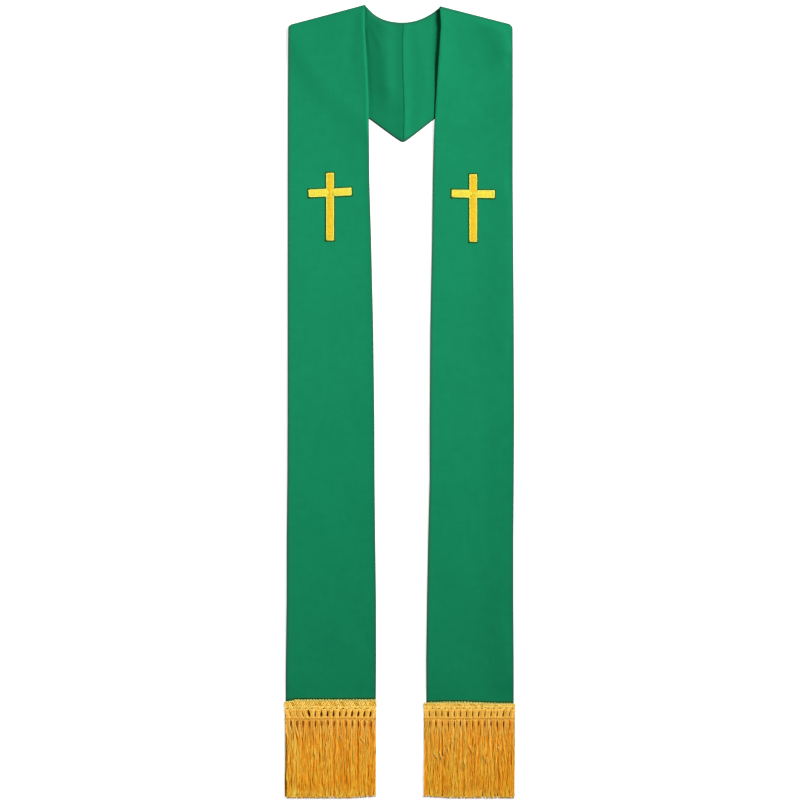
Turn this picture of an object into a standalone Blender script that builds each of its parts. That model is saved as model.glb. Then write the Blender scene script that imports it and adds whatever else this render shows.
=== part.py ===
"""A clerical stole laid flat, built from the pieces that a maker cuts and sews.

Two bands run from fringed hems up the fronts, fold over at the shoulders and meet in a
pointed yoke at the centre back. The yoke is faced with a lining, each front carries a
raised Latin cross, and a knotted fringe is sewn over each hem.

Metres, +Z up. The stole lies on z = 0 with its neck towards +Y, and the origin is the
middle of its footprint. Left and right are as seen from above.
"""

import math
import random
from collections import namedtuple

import bmesh
import bpy
from mathutils import Matrix, Vector

MM = 0.001

# Cloth and sewing
CLOTH = 1.5 * MM  # face cloth, interfacing and turnings, as one wall
LINING = 1.0 * MM
SEAM_GAP = 0.3 * MM
LINING_INSET = 1.2 * MM  # the face cloth rolls in this far round the yoke
SECTION_CUTS = (0.0, 0.08, 0.2, 0.35, 0.5, 0.65, 0.8, 0.92, 1.0)  # inner edge to outer edge

# Yoke: the part behind the neck, from the centre seam to the shoulder folds
CENTRE_SEAM_X = 4.8 * MM
NECK_BOTTOM_Y = 606.0 * MM
YOKE_TIP_Y = 413.4 * MM
YOKE_TIP_ROUNDING = 3.0 * MM
YOKE_STRAIGHT = 55 * MM  # reach of the straight hem on each side of the point
YOKE_CORNER_HANDLE = 65 * MM
YOKE_STATIONS = (0.0, 0.02, 0.05, 0.1, 0.17, 0.26, 0.37, 0.5, 0.63, 0.76, 0.88, 1.0)

# Shoulder fold: a soft loop, fuller at the neck than at the outer corner
FOLD_ANGLES = (-60, -30, 0, 30, 60)
CORNER_ROUNDING = 11 * MM
CORNER_LIFT = 0.6 * MM

# Fronts: they rest on the yoke, then settle on the floor just past its edge
FRONT_OVER_YOKE = CLOTH + LINING + 2 * SEAM_GAP
SETTLE_LENGTH = 45 * MM
NECK_LIFT_FADE = 175 * MM
CORNER_LIFT_FADE = 70 * MM
LEVEL_Y = 375 * MM  # sections are level from here down
UPPER_STATIONS = (
    0.0, 0.01, 0.025, 0.05, 0.09, 0.14, 0.2, 0.27, 0.34,
    0.41, 0.48, 0.55, 0.62, 0.69, 0.76, 0.84, 0.92, 1.0,
)  # fmt: skip
HEM_Y = -490 * MM

# Each row is a level section through both fronts, in millimetres
Section = namedtuple("Section", "y left_outer left_inner right_inner right_outer")
FRONT_SECTIONS = (
    Section(634, -178.0, -56.5, 64.5, 178.2),
    Section(600, -178.3, -55.2, 66.0, 178.5),
    Section(540, -178.9, -52.0, 62.4, 179.0),
    Section(480, -179.2, -49.6, 58.4, 179.3),
    Section(420, -179.3, -49.8, 54.6, 179.4),
    Section(355, -179.4, -49.5, 52.6, 179.4),
    Section(260, -179.4, -46.7, 51.4, 180.1),
    Section(115, -179.5, -43.4, 49.0, 181.4),
    Section(-30, -179.5, -41.5, 47.8, 181.8),
    Section(-125, -179.8, -41.1, 47.7, 181.3),
    Section(-220, -180.8, -40.1, 45.3, 180.7),
    Section(-317, -181.0, -38.8, 43.4, 180.7),
    Section(-413, -182.3, -38.7, 42.2, 181.2),
    Section(-490, -182.7, -39.1, 42.4, 181.4),
)

# Embroidered crosses
CROSS_HEIGHT = 109 * MM
CROSS_SPAN = 69.4 * MM
CROSS_BAR = 13.4 * MM
CROSS_ARM_DROP = 31.3 * MM  # top of the upright to the middle of the arm
CROSS_THICKNESS = 1.0 * MM
CROSS_BEVEL = 0.3 * MM

# Fringe: a heading on the hem, a row of tied bunches below it, then hanging strands
BUNCHES = 15
STRANDS_PER_BUNCH = 4  # in each of two layers
GIMP_END_Y = -492.4 * MM  # lower edge of the woven band that is sewn over the hem
CHAIN_TOP_Y = -504.4 * MM
CHAIN_Y = -511 * MM  # lower edge of the tied chain that the strands hang from
FRINGE_END_Y = -634.1 * MM
SLIT_Y = -498.6 * MM
SLIT_WIDTH = 2.6 * MM
SLIT_LENGTH = 8.6 * MM
SLIT_LEAN = math.radians(16)  # of the outermost slits
FLOOR_CLEARANCE = 0.3 * MM
HEADING_UNDER = CLOTH + SEAM_GAP
HEADING_TOP = 3.8 * MM
NECK_TOP = 2.9 * MM
CHAIN_TOP = 3.1 * MM
LAYER_SPLIT = (FLOOR_CLEARANCE + CHAIN_TOP) / 2
STRAND_WIDTH = 2.0 * MM
STRAND_THICKNESS = 1.05 * MM
PINCHED_WIDTH = 1.4 * MM
PINCH = 0.72  # share of the pitch left between strands where a bunch is tied
SWAY = 1.2 * MM
END_RAGGEDNESS = 1.6 * MM
SEED = 7

Side = namedtuple(
    "Side",
    "name sign outer inner peak_x peak_y fold_drop yoke_slope neck_flat neck_bend_x neck_bend_y"
    " neck_lift cross_x cross_top arm_tilt fringe_low_x fringe_high_x heading_y",
)
LEFT = Side(
    name="left",
    sign=-1,
    outer="left_outer",
    inner="left_inner",
    peak_x=-56.0 * MM,
    peak_y=633.8 * MM,
    fold_drop=32.2 * MM,
    yoke_slope=0.741,
    neck_flat=30 * MM,
    neck_bend_x=49 * MM,
    neck_bend_y=616.5 * MM,
    neck_lift=3.4 * MM,
    cross_x=-111.5 * MM,
    cross_top=366 * MM,
    arm_tilt=math.radians(2.4),
    fringe_low_x=-185.6 * MM,
    fringe_high_x=-36.8 * MM,
    heading_y=-475.7 * MM,
)
RIGHT = Side(
    name="right",
    sign=1,
    outer="right_outer",
    inner="right_inner",
    peak_x=64.2 * MM,
    peak_y=631.3 * MM,
    fold_drop=29.0 * MM,
    yoke_slope=0.8,
    neck_flat=26 * MM,
    neck_bend_x=45 * MM,
    neck_bend_y=618.5 * MM,
    neck_lift=4.6 * MM,
    cross_x=117.0 * MM,
    cross_top=364.4 * MM,
    arm_tilt=math.radians(-1.2),
    fringe_low_x=38.4 * MM,
    fringe_high_x=185.6 * MM,
    heading_y=-480.4 * MM,
)

Finish = namedtuple("Finish", "colour roughness")
GREEN_CLOTH = Finish((0.010, 0.270, 0.125, 1), 0.62)
GREEN_LINING = Finish((0.012, 0.290, 0.135, 1), 0.55)
GOLD_EMBROIDERY = Finish((0.93, 0.57, 0.04, 1), 0.4)
GOLD_FRINGE = Finish((0.80, 0.38, 0.03, 1), 0.5)


def smooth(share):
    """A share from 0 to 1, eased at both ends and held beyond them."""
    share = min(1.0, max(0.0, share))
    return share * share * (3 - 2 * share)


def blend(low, high, share):
    return low + (high - low) * share


def bezier(points, t):
    start, first, second, end = points
    back = 1 - t
    return (
        start * back**3
        + first * 3 * back * back * t
        + second * 3 * back * t * t
        + end * t**3
    )


def edge_x(column, y):
    """Where an edge of a front lies at height y, from the table of sections."""
    rows = FRONT_SECTIONS
    for upper, lower in zip(rows, rows[1:]):
        if y >= lower.y * MM or lower is rows[-1]:
            share = (upper.y * MM - y) / ((upper.y - lower.y) * MM)
            x = blend(getattr(upper, column), getattr(lower, column), max(0.0, share))
            return x * MM
    return None


def seam_point(side, reach, y):
    """A point in plan at a given reach from the centre seam, on this side of it."""
    return Vector((CENTRE_SEAM_X + side.sign * reach, y))


def neck_peak(side):
    return Vector((side.peak_x, side.peak_y))


def outer_corner(side):
    return Vector((edge_x(side.outer, side.peak_y), side.peak_y - side.fold_drop))


def fold_axes(side):
    """The fold's direction from neck to corner, and the direction from it into the cloth."""
    along = (outer_corner(side) - neck_peak(side)).normalized()
    inward = Vector((-side.sign * abs(along.y), -abs(along.x)))
    return along, inward


def lift(side, u):
    """How far the front stands clear of the yoke at the fold."""
    return blend(side.neck_lift, CORNER_LIFT, smooth(u))


def fold_radius(side, u):
    """The radius inside the loop of the fold."""
    return (FRONT_OVER_YOKE + lift(side, u) - CLOTH) / 2


def corner_inset(distance):
    """How far the rounded outer corner draws the edge in, at a distance from the fold."""
    left = max(0.0, CORNER_ROUNDING - distance)
    return CORNER_ROUNDING - math.sqrt(CORNER_ROUNDING**2 - left**2)


def fold_point(side, u, angle):
    """A point of the lining side round the fold: -90 degrees is the yoke, 90 the front."""
    along, inward = fold_axes(side)
    inner_radius = fold_radius(side, u)
    radius = inner_radius + CLOTH
    turn = math.radians(angle)
    inset = u * corner_inset(fold_radius(side, 1) * (1 - math.cos(turn)))
    tilt = side.fold_drop / abs(outer_corner(side).x - neck_peak(side).x)
    plan = (
        neck_peak(side).lerp(outer_corner(side), u)
        + inward * (radius - inner_radius * math.cos(turn))
        + along * (radius * tilt * math.sin(turn) - inset)
    )
    return Vector((plan.x, plan.y, CLOTH + inner_radius * (1 + math.sin(turn))))


def neck_point(side, t):
    """The neck edge, from the centre seam (0) to the fold (1)."""
    return bezier(
        (
            seam_point(side, SEAM_GAP / 2, NECK_BOTTOM_Y),
            seam_point(side, side.neck_flat, NECK_BOTTOM_Y),
            seam_point(side, side.neck_bend_x, side.neck_bend_y),
            fold_point(side, 0, -90).xy,
        ),
        t,
    )


def yoke_hem_point(side, t):
    """The yoke's lower edge, from its point (0) to the outer corner (1)."""
    slope = side.yoke_slope
    bend = seam_point(side, YOKE_STRAIGHT, YOKE_TIP_Y + slope * YOKE_STRAIGHT)
    corner = fold_point(side, 1, -90).xy
    straight = YOKE_STRAIGHT * math.hypot(1, slope)
    curved = (corner - bend).length
    travelled = t * (straight + curved)
    if travelled < straight:
        reach = max(SEAM_GAP / 2, travelled / math.hypot(1, slope))
        rise = math.hypot(slope * reach, YOKE_TIP_ROUNDING)
        return seam_point(side, reach, YOKE_TIP_Y + rise)
    along, _ = fold_axes(side)
    leaving = Vector((side.sign, slope)).normalized() * YOKE_CORNER_HANDLE
    # The outer edge runs on through the fold, so it comes back mirrored in the fold line.
    up = Vector((0, 1))
    arriving = (2 * up.dot(along) * along - up) * YOKE_CORNER_HANDLE
    handles = (bend, bend + leaving, corner + arriving, corner)
    return bezier(handles, (travelled - straight) / curved)


def yoke_row(side, t, height):
    inner, outer = neck_point(side, t), yoke_hem_point(side, t)
    return [(*inner.lerp(outer, u), height) for u in SECTION_CUTS]


def beyond_yoke(hem, point):
    """How far a point in plan lies outside the yoke's lower edge, or 0 over the yoke."""
    nearest = math.inf
    covered = False
    for start, end in zip(hem, hem[1:]):
        edge = end - start
        share = min(1.0, max(0.0, (point - start).dot(edge) / edge.length_squared))
        nearest = min(nearest, (point - start - edge * share).length)
        if min(start.x, end.x) <= point.x <= max(start.x, end.x):
            covered = point.y >= blend(start.y, end.y, (point.x - start.x) / edge.x)
    return 0.0 if covered else nearest


def front_height(side, hem, u, point, run):
    """The underside of a front: run is the distance down the band from its fold."""
    settling = 1 - smooth(beyond_yoke(hem, point) / SETTLE_LENGTH)
    fade = blend(NECK_LIFT_FADE, CORNER_LIFT_FADE, u)
    return FRONT_OVER_YOKE * settling + lift(side, u) * (1 - smooth(run / fade))


def front_row(side, hem, inner_y, outer_y, run):
    inset = corner_inset(fold_radius(side, 1) + run)
    inner_end = Vector((edge_x(side.inner, inner_y), inner_y))
    outer_end = Vector((edge_x(side.outer, outer_y) - side.sign * inset, outer_y))
    row = []
    for u in SECTION_CUTS:
        point = inner_end.lerp(outer_end, u)
        row.append((*point, front_height(side, hem, u, point, run)))
    return row


def band_rows(side):
    """Sections of the lining side of one band, from the centre seam to the hem."""
    rows = [yoke_row(side, t, CLOTH) for t in YOKE_STATIONS]
    for angle in FOLD_ANGLES:
        rows.append([tuple(fold_point(side, u, angle)) for u in SECTION_CUTS])
    hem = [yoke_hem_point(side, step / 60) for step in range(61)]
    inner_top = fold_point(side, 0, 90).y
    outer_top = fold_point(side, 1, 90).y
    rows.append([tuple(fold_point(side, u, 90)) for u in SECTION_CUTS])
    for share in UPPER_STATIONS[1:]:
        inner_y = blend(inner_top, LEVEL_Y, share)
        outer_y = blend(outer_top, LEVEL_Y, share)
        rows.append(front_row(side, hem, inner_y, outer_y, inner_top - inner_y))
    for section in FRONT_SECTIONS:
        y = section.y * MM
        if y < LEVEL_Y:
            rows.append(front_row(side, hem, y, y, inner_top - y))
    return rows


def new_material(name, finish):
    material = bpy.data.materials.new(name)
    material.use_nodes = True
    shader = material.node_tree.nodes["Principled BSDF"]
    shader.inputs["Base Color"].default_value = finish.colour
    shader.inputs["Roughness"].default_value = finish.roughness
    shader.inputs["Metallic"].default_value = 0.0
    material.diffuse_color = finish.colour
    return material


def add_object(name, bm, collection, finish=None):
    mesh = bpy.data.meshes.new(name)
    bm.to_mesh(mesh)
    bm.free()
    obj = bpy.data.objects.new(name, mesh)
    if finish is not None:
        mesh.materials.append(new_material(name, finish))
    collection.objects.link(obj)
    return obj


def sheet(rows):
    """An open surface through rows of points, facing the way that rows x columns turn."""
    bm = bmesh.new()
    grid = [[bm.verts.new(point) for point in row] for row in rows]
    for first, second in zip(grid, grid[1:]):
        for k in range(len(first) - 1):
            bm.faces.new((first[k], first[k + 1], second[k + 1], second[k]))
    return bm


def add_wall(name, rows, thickness, collection, finish, lining_side_up):
    """A wall of cloth whose given surface faces up in the yoke and whose body lies under it."""
    bm = sheet(rows)
    bm.faces.ensure_lookup_table()
    bm.normal_update()
    if (bm.faces[0].normal.z > 0) != lining_side_up:
        bmesh.ops.reverse_faces(bm, faces=bm.faces)
    obj = add_object(name, bm, collection, finish)
    wall = obj.modifiers.new("wall", "SOLIDIFY")
    wall.thickness = thickness
    wall.offset = -1
    wall.use_even_offset = True
    wall.use_quality_normals = True
    obj.data.shade_smooth()
    obj.data.set_sharp_from_angle(angle=math.radians(35))
    return obj


def add_band(side, collection):
    return add_wall(f"band_{side.name}", band_rows(side), CLOTH, collection, GREEN_CLOTH, True)


def add_lining(side, collection):
    """The facing of the yoke, a little smaller than it, laid on its inner side."""
    top = CLOTH + SEAM_GAP + LINING
    rows = []
    for t in YOKE_STATIONS:
        inner, outer = neck_point(side, t), yoke_hem_point(side, t)
        margin = LINING_INSET / (outer - inner).length
        row = []
        for u in SECTION_CUTS:
            row.append((*inner.lerp(outer, blend(margin, 1 - margin, u)), top))
        rows.append(row)
    return add_wall(f"lining_{side.name}", rows, LINING, collection, GREEN_LINING, True)


def bar(width, height, centre, tilt):
    bm = bmesh.new()
    base = CLOTH + SEAM_GAP
    place = Matrix.Translation((*centre, base + CROSS_THICKNESS / 2))
    turn = Matrix.Rotation(tilt, 4, "Z")
    size = Matrix.Diagonal((width, height, CROSS_THICKNESS, 1))
    bmesh.ops.create_cube(bm, size=1, matrix=place @ turn @ size)
    return bm


def add_cross(side, collection, cutters):
    """An upright and an arm joined into one raised Latin cross on the front."""
    upright_middle = (side.cross_x, side.cross_top - CROSS_HEIGHT / 2)
    arm_middle = (side.cross_x, side.cross_top - CROSS_ARM_DROP)
    upright = bar(CROSS_BAR, CROSS_HEIGHT, upright_middle, 0)
    arm = bar(CROSS_SPAN, CROSS_BAR, arm_middle, side.arm_tilt)
    cross = add_object(f"cross_{side.name}", upright, collection, GOLD_EMBROIDERY)
    helper = add_object(f"arm_{side.name}", arm, cutters)
    join_with(cross, helper, "UNION")
    bevel = cross.modifiers.new("worn edge", "BEVEL")
    bevel.width = CROSS_BEVEL
    bevel.segments = 1
    bevel.limit_method = "ANGLE"
    return cross


def join_with(obj, helper, operation):
    helper.hide_render = True
    helper.display_type = "WIRE"
    boolean = obj.modifiers.new(operation.lower(), "BOOLEAN")
    boolean.operation = operation
    boolean.object = helper


def heading_profile(side):
    """The outline of the heading's cross-section, in y and z."""
    top = side.heading_y
    upper = (
        (top, HEADING_TOP - 1.0 * MM),
        (top - 1.6 * MM, HEADING_TOP),
        (top - 4.5 * MM, HEADING_TOP - 0.3 * MM),
        (GIMP_END_Y + 3.5 * MM, HEADING_TOP - 0.3 * MM),
        (GIMP_END_Y + 1.2 * MM, HEADING_TOP),
        (GIMP_END_Y, NECK_TOP),
        (CHAIN_TOP_Y, NECK_TOP),
        (CHAIN_TOP_Y - 1.5 * MM, CHAIN_TOP + 0.3 * MM),
        (CHAIN_Y + 1.5 * MM, CHAIN_TOP + 0.3 * MM),
        (CHAIN_Y, CHAIN_TOP),
    )
    under = (
        (CHAIN_Y, FLOOR_CLEARANCE),
        (CHAIN_TOP_Y, FLOOR_CLEARANCE),
        (HEM_Y - 1.5 * MM, HEADING_UNDER),
        (top, HEADING_UNDER),
    )
    return (*upper, (CHAIN_Y, LAYER_SPLIT), *under)


def heading_slab(side):
    """A prism with the heading's profile, its lower edge divided into a root per strand."""
    bm = bmesh.new()
    ends = []
    for x in (side.fringe_low_x, side.fringe_high_x):
        ends.append([bm.verts.new((x, y, z)) for y, z in heading_profile(side)])
    low, high = ends
    bm.faces.new(low)
    bm.faces.new(reversed(high))
    for k in range(len(low)):
        bm.faces.new((low[k - 1], high[k - 1], high[k], low[k]))
    bmesh.ops.recalc_face_normals(bm, faces=bm.faces)
    chain_edges = [
        edge
        for edge in bm.edges
        if all(abs(vert.co.y - CHAIN_Y) < SEAM_GAP / 10 for vert in edge.verts)
        and abs(edge.verts[0].co.x - edge.verts[1].co.x) > SLIT_WIDTH
    ]
    columns = BUNCHES * STRANDS_PER_BUNCH
    bmesh.ops.subdivide_edges(bm, edges=chain_edges, cuts=columns - 1, use_grid_fill=True)
    return bm


def strand_stations(side, column, upper, length):
    """Where the rings of one strand lie: centre, width and thickness, from root to end."""
    pitch = (side.fringe_high_x - side.fringe_low_x) / (BUNCHES * STRANDS_PER_BUNCH)
    bunch = column // STRANDS_PER_BUNCH
    even_x = side.fringe_low_x + (column + 0.5) * pitch
    bunch_x = side.fringe_low_x + (bunch + 0.5) * pitch * STRANDS_PER_BUNCH
    tied_x = blend(bunch_x, even_x, PINCH)
    middle = (FLOOR_CLEARANCE + LAYER_SPLIT) / 2
    if upper:
        middle = (LAYER_SPLIT + CHAIN_TOP) / 2
    phase = column * 0.13 + (1.9 if upper else 0)
    edge_fade = math.sin(math.pi * (column + 0.5) / (BUNCHES * STRANDS_PER_BUNCH)) ** 0.5
    rings = [(tied_x, CHAIN_Y - 3 * MM, middle, PINCHED_WIDTH)]
    for share, wave in ((0.2, 0.0), (0.6, 1.7), (1.0, 3.6)):
        sway = SWAY * edge_fade * math.sin(phase + wave) * share
        rings.append((even_x + sway, CHAIN_Y - share * length, middle, STRAND_WIDTH))
    return rings


def draw_strands(bm, side):
    """Draws each root face out into one strand: bmesh extrusions, ring by ring."""
    number = bm.faces.layers.int.new("strand")
    chance = random.Random(SEED + side.sign)
    full = CHAIN_Y - FRINGE_END_Y
    pitch = (side.fringe_high_x - side.fringe_low_x) / (BUNCHES * STRANDS_PER_BUNCH)
    roots = [
        face
        for face in bm.faces
        if all(abs(vert.co.y - CHAIN_Y) < SEAM_GAP / 10 for vert in face.verts)
    ]
    roots.sort(key=lambda face: tuple(face.calc_center_median()))
    routes = []
    for face in roots:
        face[number] = len(routes)
        centre = face.calc_center_median()
        column = int((centre.x - side.fringe_low_x) / pitch)
        length = full - chance.random() * END_RAGGEDNESS
        if column == BUNCHES * STRANDS_PER_BUNCH // 2:
            length = full
        routes.append(strand_stations(side, column, centre.z > LAYER_SPLIT, length))
    faces = roots
    for ring in range(len(routes[0])):
        faces = bmesh.ops.extrude_discrete_faces(bm, faces=faces)["faces"]
        for face in faces:
            x, y, z, width = routes[face[number]][ring]
            centre = face.calc_center_median()
            for vert in face.verts:
                right = 1 if vert.co.x > centre.x else -1
                above = 1 if vert.co.z > centre.z else -1
                vert.co = (
                    x + right * width / 2,
                    y,
                    z + above * STRAND_THICKNESS / 2,
                )
    bm.faces.layers.int.remove(number)


def slit_cutters(side):
    """Rounded slots between the bunches, leaning out towards the ends of the heading."""
    bm = bmesh.new()
    width = side.fringe_high_x - side.fringe_low_x
    for slit in range(1, BUNCHES):
        share = slit / BUNCHES
        lean = SLIT_LEAN * (1 - 2 * share)
        place = Matrix.Translation((side.fringe_low_x + share * width, SLIT_Y, CHAIN_TOP / 2))
        turn = Matrix.Rotation(lean, 4, "Z")
        size = Matrix.Diagonal((SLIT_WIDTH, SLIT_LENGTH, 4 * HEADING_TOP, 1))
        bmesh.ops.create_cone(
            bm, cap_ends=True, segments=8, radius1=0.5, radius2=0.5, depth=1,
            matrix=place @ turn @ size,
        )  # fmt: skip
    return bm


def add_fringe(side, collection, cutters):
    """The heading and its strands as one body, with slits between the tied bunches."""
    bm = heading_slab(side)
    draw_strands(bm, side)
    fringe = add_object(f"fringe_{side.name}", bm, collection, GOLD_FRINGE)
    helper = add_object(f"slits_{side.name}", slit_cutters(side), cutters)
    join_with(fringe, helper, "DIFFERENCE")
    return fringe


def new_collection(name):
    collection = bpy.data.collections.new(name)
    bpy.context.scene.collection.children.link(collection)
    return collection


def main():
    for obj in list(bpy.data.objects):
        bpy.data.objects.remove(obj)
    pieces = new_collection("clerical stole")
    cutters = new_collection("cutters")
    for side in (LEFT, RIGHT):
        add_band(side, pieces)
        add_lining(side, pieces)
        add_cross(side, pieces, cutters)
        add_fringe(side, pieces, cutters)


main()
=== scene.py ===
"""Looks of a green clerical stole laid flat: cloth, lining, embroidery, fringe, light and camera.

The same driving sizes as the part's source shape finer cloth shells, which follow its solids.
Metres, +Z up, the neck towards +Y. Left and right are as seen from above.
"""

import math
import random
from collections import namedtuple

import bmesh
import bpy
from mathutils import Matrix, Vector, noise


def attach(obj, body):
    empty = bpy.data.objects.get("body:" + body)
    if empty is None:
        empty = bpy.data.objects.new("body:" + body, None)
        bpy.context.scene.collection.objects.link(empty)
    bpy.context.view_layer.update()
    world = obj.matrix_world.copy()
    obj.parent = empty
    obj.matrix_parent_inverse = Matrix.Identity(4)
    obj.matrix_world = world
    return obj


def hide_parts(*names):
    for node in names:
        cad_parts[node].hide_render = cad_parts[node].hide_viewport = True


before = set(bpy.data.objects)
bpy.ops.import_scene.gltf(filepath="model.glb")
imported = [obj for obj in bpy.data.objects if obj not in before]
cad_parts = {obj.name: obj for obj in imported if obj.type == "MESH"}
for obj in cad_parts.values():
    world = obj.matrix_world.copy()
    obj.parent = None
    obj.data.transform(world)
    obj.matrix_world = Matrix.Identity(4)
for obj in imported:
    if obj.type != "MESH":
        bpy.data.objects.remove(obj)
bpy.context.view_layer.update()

MM = 0.001
DEGREE = math.radians(1)
UP = Vector((0, 0, 1))


def table(columns, *rows, defaults=()):
    """Rows with named columns, of which the last ones can have defaults."""
    row_type = namedtuple("Row", columns, defaults=defaults)
    return [row_type(*row) for row in rows]


# Cloth and sewing, as in the solids
CLOTH = 1.5 * MM
LINING = 1.0 * MM
LAYER_GAP = 0.3 * MM
LINING_INSET = 1.2 * MM
FRONT_OVER_YOKE = CLOTH + LINING + 2 * LAYER_GAP

# Yoke
CENTRE_SEAM_X = 4.8 * MM
NECK_BOTTOM_Y = 607.1 * MM
YOKE_TIP_Y = 412.6 * MM
YOKE_TIP_ROUNDING = 3.0 * MM
YOKE_STRAIGHT = 55 * MM
YOKE_CORNER_HANDLE = 65 * MM

# Shoulder fold and fronts
FOLD_FLATNESS = 0.6  # the depth of the shoulder fold in plan, as a share of a round one
SETTLE_LENGTH = 45 * MM
NECK_LIFT_FADE = 175 * MM
CORNER_LIFT_FADE = 70 * MM
RELIEF_START = 16 * MM  # soft waves and turnings reach full height this far below the fold
LEVEL_Y = 375 * MM
HEM_Y = -490 * MM
FRONT_SECTIONS = table(  # level sections through both fronts, in millimetres
    "y left_outer left_inner right_inner right_outer",
    (634, -178.2, -56.3, 63.2, 179.6),
    (600, -178.5, -56.3, 64.8, 179.9),
    (566, -178.9, -54.2, 62.6, 180.1),
    (540, -179.1, -52.4, 60.6, 180.3),
    (480, -179.4, -49.9, 56.7, 180.4),
    (420, -179.5, -49.4, 53.7, 180.3),
    (355, -179.6, -48.9, 52.2, 180.3),
    (260, -179.6, -46.0, 51.1, 180.9),
    (115, -179.7, -42.6, 48.3, 182.1),
    (-30, -179.8, -40.8, 47.3, 182.5),
    (-125, -180.2, -40.5, 47.3, 182.0),
    (-220, -181.2, -39.5, 44.9, 181.2),
    (-317, -181.3, -38.2, 43.1, 181.2),
    (-413, -182.6, -38.1, 41.8, 181.8),
    (-490, -183.1, -38.6, 42.1, 182.0),
)

# Fineness of the cloth shells
EDGE_STEPS = tuple(MM * step for step in (0, 0.12, 0.4, 0.85, 1.5, 2.4, 3.6, 5.2, 7.5, 11, 15, 20, 27))
MIDDLE_COLUMNS = 14
LINING_MIDDLE_COLUMNS = 44
YOKE_ROWS, YOKE_CROWDING = 40, 1.25  # rows crowd together towards the seam or the fold
LINING_ROWS, LINING_CROWDING = 100, 1.9
UPPER_ROWS, UPPER_CROWDING = 60, 1.6
FOLD_STEP = 12  # degrees
LOWER_STEP = 8 * MM
EDGE_ROLL = 1.0 * MM

# Soft relief of the laid cloth
SEAM_BULK = 0.5 * MM  # extra thickness where the turnings lie inside an edge
SEAM_BULK_REACH = 6 * MM
DISH = 1.1 * MM  # how far the middle of a front lies below its thicker edges
DISH_REACH = 36 * MM
WAVE_HEIGHT = 0.35 * MM
WAVE_FLOOR = 0.4 * MM  # how softly the waves stop where the cloth touches what it lies on
PRESSED_LENGTH = 34 * MM  # the cloth lies flatter this far above the heading
EDGE_RISE_REACH = 32 * MM
# Painted shade: the cloth's edges and its shoulder fold are mixed toward a dark green
LIT_EDGE_PAINTED_SHADE = 2.6 * MM  # how far in an edge the painted shade reaches, where the edge faces the light
SHADED_EDGE_PAINTED_SHADE = 4.0 * MM  # and where it faces away
FOLD_PAINTED_SHADE_REACH = 2.2 * MM  # and down from the shoulder fold
# the strength of the painted shade along the shoulder fold
FOLD_PAINTED_SHADE = 0.45

# Soft ridges, or troughs where height is negative, in millimetres
CREASE = "x0 y0 x1 y1 left_width right_width height"
FRONT_CREASES = {
    "left": table(
        CREASE,
        (-74, 628, -79, 545, 9, 8, -1.1),
        (-150, 560, -118, 470, 26, 20, 0.5),
        (-96, 400, -64, 340, 14, 18, -0.5),
        (-150, 210, -135, 40, 30, 24, 0.45),
        (-84, 30, -58, -90, 20, 16, -0.4),
        (-120, -180, -66, -300, 24, 20, 0.45),
        (-90, -330, -60, -380, 16, 20, -0.6),
    ),
    "right": table(
        CREASE,
        (152, 604, 172, 560, 22, 12, 2.5),
        (172, 555, 177, 470, 20, 12, 1.0),
        (100, 600, 112, 545, 22, 24, -1.0),
        (120, 190, 124, 60, 26, 20, -0.45),
        (125, -10, 128, -390, 24, 22, -0.75),
        (98, -250, 104, -360, 18, 14, 0.4),
        (171, 330, 172, 110, 30, 10, 1.4),
        (162, -360, 176, -450, 22, 10, 0.9),
    ),
}
LINING_CREASES = {
    "left": table(
        CREASE,
        (-29, 607, -21, 505, 15, 15, 2.7),
        (-45, 598, -30, 566, 5, 4, 0.5),
        (-30, 604, -10, 588, 4, 5, 0.45),
        (-21, 505, -16, 476, 15, 13, 0.9),
        (4.8, 603, 4.8, 424, 11, 11, 1.1),
    ),
    "right": table(
        CREASE,
        (4.8, 603, 4.8, 424, 10, 10, 1.9),
        (24, 602, 36, 540, 10, 12, 0.6),
        (12, 599, 30, 592, 3.5, 4, 0.35),
        (22, 586, 40, 595, 3.5, 4, -0.3),
        (42, 520, 30, 450, 12, 9, 0.5),
    ),
}

# Inner edges of the fronts, which curl up beside the neck and turn down at the very rim
CURL_FADE = 40 * MM
ROLL_REACH = 3.6 * MM
ROLL_START_Y = 400 * MM
ROLL_START_LENGTH = 50 * MM
ROLL_EASE_Y = 550 * MM
ROLL_EASE_LENGTH = 40 * MM
LIT_ROLL_LENGTH = 40 * MM

# The facing beside the fronts and along its seam
TUCK_REACH = 12 * MM  # it rises to the right front this far out from it
TUCK_FADE = 30 * MM
HOLLOW_REACH = 4.2 * MM  # and dips this far out from the left one
HOLLOW_REACH_AT_FOLD = 2.6 * MM
HOLLOW_NARROW_Y = 545 * MM
HOLLOW_END_Y = 455 * MM
HOLLOW_LEFT = 0.35  # the share of the hollow that is left below its end
COVER_START = 12 * MM  # its creases fade out from this far beside a front
COVER_FADE = 10 * MM
SWELL = 0.25  # the share of its relief that is thickness and not lift
SEAM_ROLL = 2.6 * MM
SEAM_WANDER = 1.6 * MM  # how far the centre seam strays sideways
SEAM_WANDER_REACH = 22 * MM
SEAM_WANDER_LENGTH = 260 * MM
SEAM_WANDER_Y = 500 * MM

# Embroidered crosses
CROSS_HEIGHT = 108 * MM
CROSS_SPAN = 68.8 * MM
CROSS_BAR = 12.3 * MM
CROSS_ARM_DROP = 31.3 * MM
STITCH_PITCH = 0.55 * MM
STITCH_RADIUS = 0.34 * MM
STITCH_PAD = 0.9 * MM
STITCH_JITTER = 0.12 * MM
STITCH_SHARES = (0.0, 0.05, 0.16, 0.32, 0.5, 0.68, 0.84, 0.95, 1.0)
SHORTEST_STITCH = 0.18  # as a share of the bar's width, at the middle of the cross
FIRST_ARM_STITCH = 2
BORDER_RADIUS = 0.8 * MM
OUTLINE_RADIUS = 1.2 * MM

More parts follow.
